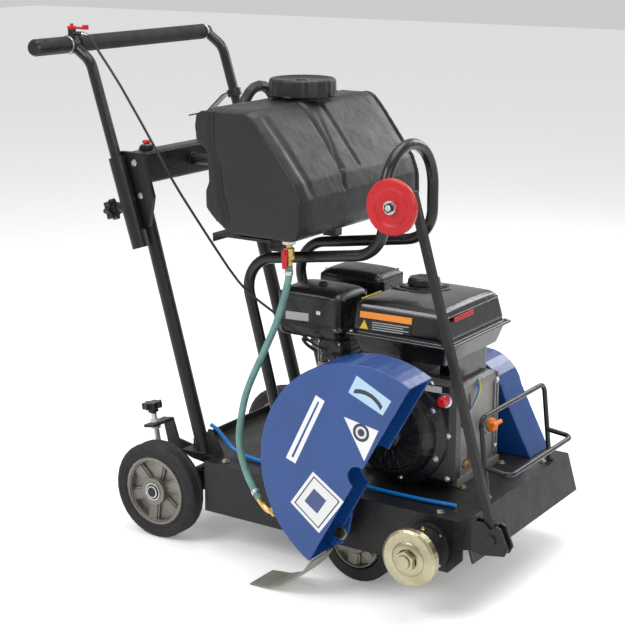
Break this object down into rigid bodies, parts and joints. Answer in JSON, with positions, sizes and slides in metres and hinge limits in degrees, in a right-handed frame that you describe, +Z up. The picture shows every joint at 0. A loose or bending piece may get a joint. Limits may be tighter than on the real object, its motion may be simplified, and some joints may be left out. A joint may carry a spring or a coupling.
{
  "type": "walk-behind concrete saw",
  "caption": "Petrol floor saw pushed from behind: tipped-back blade guard, water tank, belt drive, folding pointer wheel and screw-set cutting depth.",
  "frame": {"origin": "on the ground, under the middle of the saw's outer box", "axes": "+X forward (direction of cut), +Y to the machine's left, +Z up; the blade side is -Y"},
  "size_m": [1.0418, 0.593, 1.0343],
  "materials": {
    "frame_black": "satin powder coat",
    "guard_blue": "gloss enamel",
    "tank_plastic": "matte moulded",
    "rubber": "matte",
    "tyre": "matte",
    "cast_alloy": "as cast",
    "zinc": "yellow-silver zinc plate",
    "steel": "turned",
    "engine_black": "gloss",
    "crankcase": "as cast",
    "red_plastic": "gloss",
    "black_plastic": "satin",
    "orange_plastic": "satin",
    "green_hose": "satin, slightly translucent",
    "blue_tube": "gloss",
    "brass": "satin",
    "flap_rubber": "satin"
  },
  "bodies": {
    "chassis": {"deck": "frame_black", "post_right": "frame_black", "post_left": "frame_black", "cross_beam": "frame_black", "sleeve_right": "frame_black", "sleeve_left": "frame_black", "lifting_hoop": "frame_black", "front_bracket": "frame_black", "front_bumper": "frame_black", "front_axle": "steel", "depth_bracket": "frame_black", "stop_switch_box": "black_plastic", "water_tank": "tank_plastic", "tank_tray": "frame_black", "ball_valve": "brass", "water_hose": "green_hose", "throttle_cable": "rubber", "feed_tube": "blue_tube", "engine_block": "crankcase", "recoil_housing": "engine_black", "fuel_tank": "engine_black", "air_cleaner": "engine_black", "muffler": "engine_black", "carburettor": "cast_alloy", "drive_belt": "rubber", "bearing_housing": "frame_black", "bearing_block": "crankcase", "belt_cover": "guard_blue"},
    "handle": {"handle_frame": "frame_black", "handle_grip": "rubber"},
    "throttle": {"throttle_lever": "red_plastic"},
    "clamp_right": {"clamp_knob_right": "black_plastic"},
    "clamp_left": {"clamp_knob_left": "black_plastic"},
    "stop_button": {"stop_button": "red_plastic"},
    "tank_cap": {"tank_cap": "black_plastic"},
    "fuel_cap": {"fuel_cap": "black_plastic"},
    "valve_lever": {"valve_lever": "red_plastic"},
    "guard": {"blade_guard": "guard_blue", "water_nozzle": "brass"},
    "flap": {"splash_flap": "flap_rubber"},
    "arbor": {"arbor_shaft": "zinc", "outer_flange": "zinc", "arbor_nut": "zinc"},
    "crank": {"crank_pulley": "steel"},
    "guide_arm": {"guide_arm": "frame_black"},
    "guide_wheel": {"guide_wheel": "red_plastic"},
    "rear_axle": {"rear_axle_frame": "frame_black"},
    "rear_wheel_right": {"rear_wheel_right_tyre": "tyre", "rear_wheel_right_rim": "cast_alloy"},
    "rear_wheel_left": {"rear_wheel_left_tyre": "tyre", "rear_wheel_left_rim": "cast_alloy"},
    "front_wheel_right": {"front_wheel_right": "rubber"},
    "front_wheel_left": {"front_wheel_left": "rubber"},
    "depth_screw": {"depth_screw": "steel"},
    "depth_nut": {"depth_nut": "zinc"},
    "recoil_grip": {"recoil_grip": "black_plastic"},
    "choke_lever": {"choke_lever": "black_plastic"},
    "fuel_valve_lever": {"fuel_valve_lever": "black_plastic"},
    "engine_switch": {"engine_switch": "red_plastic"},
    "oil_dipstick": {"oil_dipstick": "orange_plastic"}
  },
  "joints": [
    {"name": "rear_axle_swing", "type": "hinge", "parent": "chassis", "child": "rear_axle", "pos_m": [-0.1456, 0.0385, 0.12], "axis": [0, 1, 0], "range_deg": [-3, 3]},
    {"name": "rear_wheel_right_spin", "type": "hinge", "parent": "rear_axle", "child": "rear_wheel_right", "pos_m": [-0.2806, -0.1915, 0.1], "axis": [0, 1, 0], "continuous": true},
    {"name": "rear_wheel_left_spin", "type": "hinge", "parent": "rear_axle", "child": "rear_wheel_left", "pos_m": [-0.2806, 0.2685, 0.1], "axis": [0, 1, 0], "continuous": true},
    {"name": "front_wheel_right_spin", "type": "hinge", "parent": "chassis", "child": "front_wheel_right", "pos_m": [0.1794, -0.1465, 0.08], "axis": [0, 1, 0], "continuous": true},
    {"name": "front_wheel_left_spin", "type": "hinge", "parent": "chassis", "child": "front_wheel_left", "pos_m": [0.1794, 0.2235, 0.08], "axis": [0, 1, 0], "continuous": true},
    {"name": "depth_screw_turn", "type": "hinge", "parent": "chassis", "child": "depth_screw", "pos_m": [-0.3226, -0.1365, 0.15], "axis": [-0.1736, 0, 0.9848], "range_deg": [-1800, 1800]},
    {"name": "depth_nut_travel", "type": "slide", "parent": "chassis", "child": "depth_nut", "axis": [-0.1736, 0, 0.9848], "range_m": [-0.0089, 0.0089]},
    {"name": "handle_height", "type": "slide", "parent": "chassis", "child": "handle", "axis": [-0.3007, 0, 0.9537], "range_m": [-0.07, 0.05], "deforming": ["throttle_cable"]},
    {"name": "clamp_right_turn", "type": "hinge", "parent": "chassis", "child": "clamp_right", "pos_m": [-0.35206, -0.179, 0.68193], "axis": [-0.9537, 0, -0.3007], "range_deg": [0, 720]},
    {"name": "clamp_left_turn", "type": "hinge", "parent": "chassis", "child": "clamp_left", "pos_m": [-0.35206, 0.256, 0.68193], "axis": [-0.9537, 0, -0.3007], "range_deg": [0, 720]},
    {"name": "throttle_turn", "type": "hinge", "parent": "handle", "child": "throttle", "pos_m": [-0.4826, -0.1835, 1.0233], "axis": [0, 0, 1], "range_deg": [0, 60]},
    {"name": "stop_push", "type": "slide", "parent": "chassis", "child": "stop_button", "axis": [0, 0, -1], "range_m": [0, 0.003], "stiffness_N_per_m": 500},
    {"name": "tank_cap_lift", "type": "slide", "parent": "chassis", "child": "tank_cap", "axis": [0, 0, 1], "range_m": [0, 0.05]},
    {"name": "fuel_cap_lift", "type": "slide", "parent": "chassis", "child": "fuel_cap", "axis": [0, 0, 1], "range_m": [0, 0.03]},
    {"name": "valve_turn", "type": "hinge", "parent": "chassis", "child": "valve_lever", "pos_m": [0.0194, -0.171, 0.627], "axis": [0, 1, 0], "range_deg": [0, 90]},
    {"name": "guard_tilt", "type": "hinge", "parent": "chassis", "child": "guard", "pos_m": [0.17937, -0.2195, 0.11805], "axis": [0, 1, 0], "range_deg": [0, 60.5]},
    {"name": "flap_swing", "type": "hinge", "parent": "guard", "child": "flap", "pos_m": [0.16105, -0.2575, 0.08192], "axis": [0, 1, 0], "range_deg": [-76, 1]},
    {"name": "arbor_spin", "type": "hinge", "parent": "chassis", "child": "arbor", "pos_m": [0.3494, -0.0615, 0.12], "axis": [0, 1, 0], "continuous": true},
    {"name": "crank_spin", "type": "hinge", "parent": "chassis", "child": "crank", "pos_m": [0.2244, 0.2385, 0.288], "axis": [0, 1, 0], "continuous": true},
    {"name": "guide_arm_fold", "type": "hinge", "parent": "chassis", "child": "guide_arm", "pos_m": [0.4874, -0.1995, 0.17], "axis": [0, 1, 0], "range_deg": [0, 117]},
    {"name": "guide_wheel_spin", "type": "hinge", "parent": "guide_arm", "child": "guide_wheel", "pos_m": [0.31451, -0.2775, 0.76124], "axis": [0, 1, 0], "continuous": true},
    {"name": "recoil_pull", "type": "slide", "parent": "chassis", "child": "recoil_grip", "axis": [0, -0.5501, 0.8351], "range_m": [0, 0.45], "stiffness_N_per_m": 60},
    {"name": "choke_turn", "type": "hinge", "parent": "chassis", "child": "choke_lever", "pos_m": [0.0694, -0.0775, 0.405], "axis": [0, 1, 0], "range_deg": [-60, 0]},
    {"name": "fuel_valve_turn", "type": "hinge", "parent": "chassis", "child": "fuel_valve_lever", "pos_m": [0.1034, -0.0775, 0.402], "axis": [0, 1, 0], "range_deg": [0, 60]},
    {"name": "engine_switch_turn", "type": "hinge", "parent": "chassis", "child": "engine_switch", "pos_m": [0.3234, -0.0965, 0.368], "axis": [0, 1, 0], "range_deg": [0, 60]},
    {"name": "dipstick_pull", "type": "slide", "parent": "chassis", "child": "oil_dipstick", "axis": [0.9138, 0, 0.4061], "range_m": [0, 0.03]}
  ],
  "couplings": [
    {"joint": "depth_nut_travel", "follows": "depth_screw_turn", "m_per_rad": -0.00027852},
    {"joint": "rear_axle_swing", "follows": "depth_screw_turn", "ratio": -0.0016471},
    {"joint": "flap_swing", "follows": "guard_tilt", "ratio": -1.25},
    {"joint": "crank_spin", "follows": "arbor_spin", "ratio": 1.2}
  ]
}
